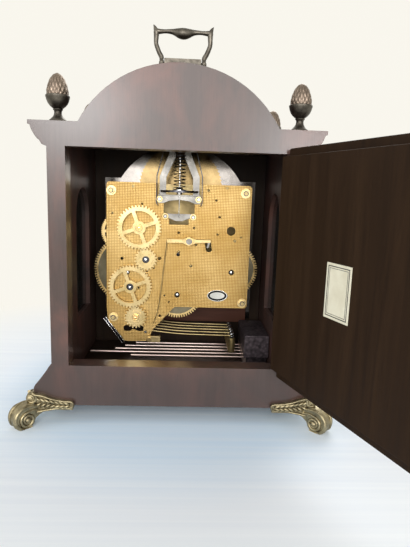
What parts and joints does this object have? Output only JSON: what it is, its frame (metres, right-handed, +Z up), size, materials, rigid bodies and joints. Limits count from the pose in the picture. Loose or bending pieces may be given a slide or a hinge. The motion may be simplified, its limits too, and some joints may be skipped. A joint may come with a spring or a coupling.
{
  "type": "bracket clock",
  "caption": "Arched wooden mantel clock on scroll feet with corner finials and a carrying handle, back door open on a brass chiming movement with a floating balance.",
  "frame": {"origin": "centre of the underside of the base board, on the flat face that closes the case below; the scroll feet reach 14 mm lower", "axes": "+Z up; the dial looks along -Y; the back door opens towards +Y; +X is the right-hand side for someone who reads the dial"},
  "size_m": [0.2576, 0.3148, 0.2997],
  "materials": {
    "mahogany": "satin lacquered reddish brown mahogany",
    "dark_wood": "satin lacquered dark brown wood",
    "lacquered_brass": "fine cross-brushed, clear lacquered",
    "antique_brass": "cast, antiqued, dark in the hollows",
    "glass": "clear, bevelled edge",
    "steel": "bright, polished edges",
    "silvered": "silvered, matt",
    "black_steel": "black gloss",
    "cast_iron": "hammered dark paint",
    "rod_metal": "drawn rod, pale coppery"
  },
  "bodies": {
    "clock_case": {"back_frame": "mahogany", "back_hinge_lower": "lacquered_brass", "back_hinge_upper": "lacquered_brass", "back_plate": "lacquered_brass", "balance_cradle": "steel", "base_board": "dark_wood", "chapter_ring": "silvered", "chime_block": "cast_iron", "chime_rods": "rod_metal", "cornice_left": "mahogany", "cornice_right": "mahogany", "dial_plate": "silvered", "dial_surround": "dark_wood", "finial_back_left": "antique_brass", "finial_back_right": "antique_brass", "finial_front_left": "antique_brass", "finial_front_right": "antique_brass", "foot_back_left": "antique_brass", "foot_back_right": "antique_brass", "foot_front_left": "antique_brass", "foot_front_right": "antique_brass", "front_frame": "mahogany", "front_hinge_lower": "lacquered_brass", "front_hinge_upper": "lacquered_brass", "front_plate": "lacquered_brass", "hairspring": "steel", "hammer_arbor": "steel", "handle_pad": "mahogany", "handle_plate": "antique_brass", "left_glass": "glass", "left_side": "mahogany", "plinth_left": "mahogany", "plinth_right": "mahogany", "right_glass": "glass", "right_side": "mahogany", "roof_arch": "mahogany"},
    "back_door": {"back_door": "dark_wood", "back_door_knob": "lacquered_brass"},
    "front_door": {"front_door": "mahogany", "front_glass": "glass", "front_door_knob": "lacquered_brass"},
    "carry_handle": {"carry_handle": "antique_brass"},
    "minute_hand": {"minute_hand": "black_steel"},
    "hour_hand": {"hour_hand": "black_steel"},
    "moon_disc": {"moon_disc": "lacquered_brass"},
    "chime_drum": {"chime_drum": "lacquered_brass"},
    "chime_gear_1": {"chime_gear_1": "lacquered_brass"},
    "chime_gear_2": {"chime_gear_2": "lacquered_brass"},
    "chime_gear_3": {"chime_gear_3": "lacquered_brass"},
    "time_barrel": {"time_barrel": "lacquered_brass"},
    "strike_barrel": {"strike_barrel": "lacquered_brass"},
    "chime_barrel": {"chime_barrel": "lacquered_brass"},
    "chime_second_wheel": {"chime_second_wheel": "lacquered_brass"},
    "balance_wheel": {"balance_wheel": "lacquered_brass"},
    "rear_lever": {"rear_lever": "lacquered_brass"},
    "chime_hammer_1": {"chime_hammer_1": "lacquered_brass"},
    "chime_hammer_2": {"chime_hammer_2": "lacquered_brass"},
    "chime_hammer_3": {"chime_hammer_3": "lacquered_brass"},
    "chime_hammer_4": {"chime_hammer_4": "lacquered_brass"},
    "chime_hammer_5": {"chime_hammer_5": "lacquered_brass"}
  },
  "joints": [
    {"name": "back_door_hinge", "type": "hinge", "parent": "clock_case", "child": "back_door", "pos_m": [-0.0754, 0.0732, 0.108], "axis": [0, 0, 1], "range_deg": [-110, 10]},
    {"name": "front_door_hinge", "type": "hinge", "parent": "clock_case", "child": "front_door", "pos_m": [0.0826, -0.073, 0.108], "axis": [0, 0, 1], "range_deg": [0, 105]},
    {"name": "handle_swing", "type": "hinge", "parent": "clock_case", "child": "carry_handle", "pos_m": [0, 0, 0.2575], "axis": [1, 0, 0], "range_deg": [-82, 82]},
    {"name": "minute_arbor", "type": "hinge", "parent": "clock_case", "child": "minute_hand", "pos_m": [0, -0.056, 0.106], "axis": [0, 1, 0], "continuous": true},
    {"name": "hour_pipe", "type": "hinge", "parent": "clock_case", "child": "hour_hand", "pos_m": [0, -0.054, 0.106], "axis": [0, 1, 0], "continuous": true},
    {"name": "moon_disc_turn", "type": "hinge", "parent": "clock_case", "child": "moon_disc", "pos_m": [0, -0.0446, 0.161], "axis": [0, 1, 0], "continuous": true},
    {"name": "drum_turn", "type": "hinge", "parent": "clock_case", "child": "chime_drum", "pos_m": [0.03414, 0.0146, 0.05248], "axis": [0, 1, 0], "continuous": true},
    {"name": "gear_1_turn", "type": "hinge", "parent": "clock_case", "child": "chime_gear_1", "pos_m": [0.032, 0.0146, 0.1273], "axis": [0, 1, 0], "continuous": true},
    {"name": "gear_2_turn", "type": "hinge", "parent": "clock_case", "child": "chime_gear_2", "pos_m": [0.0262, 0.0146, 0.10155], "axis": [0, 1, 0], "continuous": true},
    {"name": "gear_3_turn", "type": "hinge", "parent": "clock_case", "child": "chime_gear_3", "pos_m": [0.03895, 0.0146, 0.07843], "axis": [0, 1, 0], "continuous": true},
    {"name": "time_barrel_turn", "type": "hinge", "parent": "clock_case", "child": "time_barrel", "pos_m": [-0.0448, -0.018, 0.092], "axis": [0, 1, 0], "continuous": true},
    {"name": "strike_barrel_turn", "type": "hinge", "parent": "clock_case", "child": "strike_barrel", "pos_m": [0, -0.018, 0.0718], "axis": [0, 1, 0], "continuous": true},
    {"name": "chime_barrel_turn", "type": "hinge", "parent": "clock_case", "child": "chime_barrel", "pos_m": [0.0415, -0.018, 0.09], "axis": [0, 1, 0], "continuous": true},
    {"name": "second_wheel_turn", "type": "hinge", "parent": "clock_case", "child": "chime_second_wheel", "pos_m": [0.04849, 0, 0.12287], "axis": [0, 1, 0], "continuous": true},
    {"name": "balance_swing", "type": "hinge", "parent": "clock_case", "child": "balance_wheel", "pos_m": [0, 0.0145, 0.1573], "axis": [0, 0, 1], "range_deg": [-135, 135], "stiffness_Nm_per_rad": 0.0003},
    {"name": "lever_tilt", "type": "hinge", "parent": "clock_case", "child": "rear_lever", "pos_m": [-0.0088, 0.015, 0.1173], "axis": [0, 1, 0], "range_deg": [-4, 4]},
    {"name": "hammer_1_lift", "type": "hinge", "parent": "clock_case", "child": "chime_hammer_1", "pos_m": [0.026, 0.0065, 0.039], "axis": [0, 1, 0], "range_deg": [0, 9]},
    {"name": "hammer_2_lift", "type": "hinge", "parent": "clock_case", "child": "chime_hammer_2", "pos_m": [0.026, -0.002, 0.039], "axis": [0, 1, 0], "range_deg": [0, 9]},
    {"name": "hammer_3_lift", "type": "hinge", "parent": "clock_case", "child": "chime_hammer_3", "pos_m": [0.026, -0.0105, 0.039], "axis": [0, 1, 0], "range_deg": [0, 9]},
    {"name": "hammer_4_lift", "type": "hinge", "parent": "clock_case", "child": "chime_hammer_4", "pos_m": [0.026, -0.019, 0.039], "axis": [0, 1, 0], "range_deg": [0, 9]},
    {"name": "hammer_5_lift", "type": "hinge", "parent": "clock_case", "child": "chime_hammer_5", "pos_m": [0.026, -0.0275, 0.039], "axis": [0, 1, 0], "range_deg": [0, 9]}
  ],
  "couplings": [
    {"joint": "hour_pipe", "follows": "minute_arbor", "ratio": 0.083333},
    {"joint": "gear_3_turn", "follows": "drum_turn", "ratio": -0.5},
    {"joint": "gear_2_turn", "follows": "drum_turn", "ratio": 1},
    {"joint": "gear_1_turn", "follows": "drum_turn", "ratio": -0.5},
    {"joint": "second_wheel_turn", "follows": "chime_barrel_turn", "ratio": -7}
  ]
}
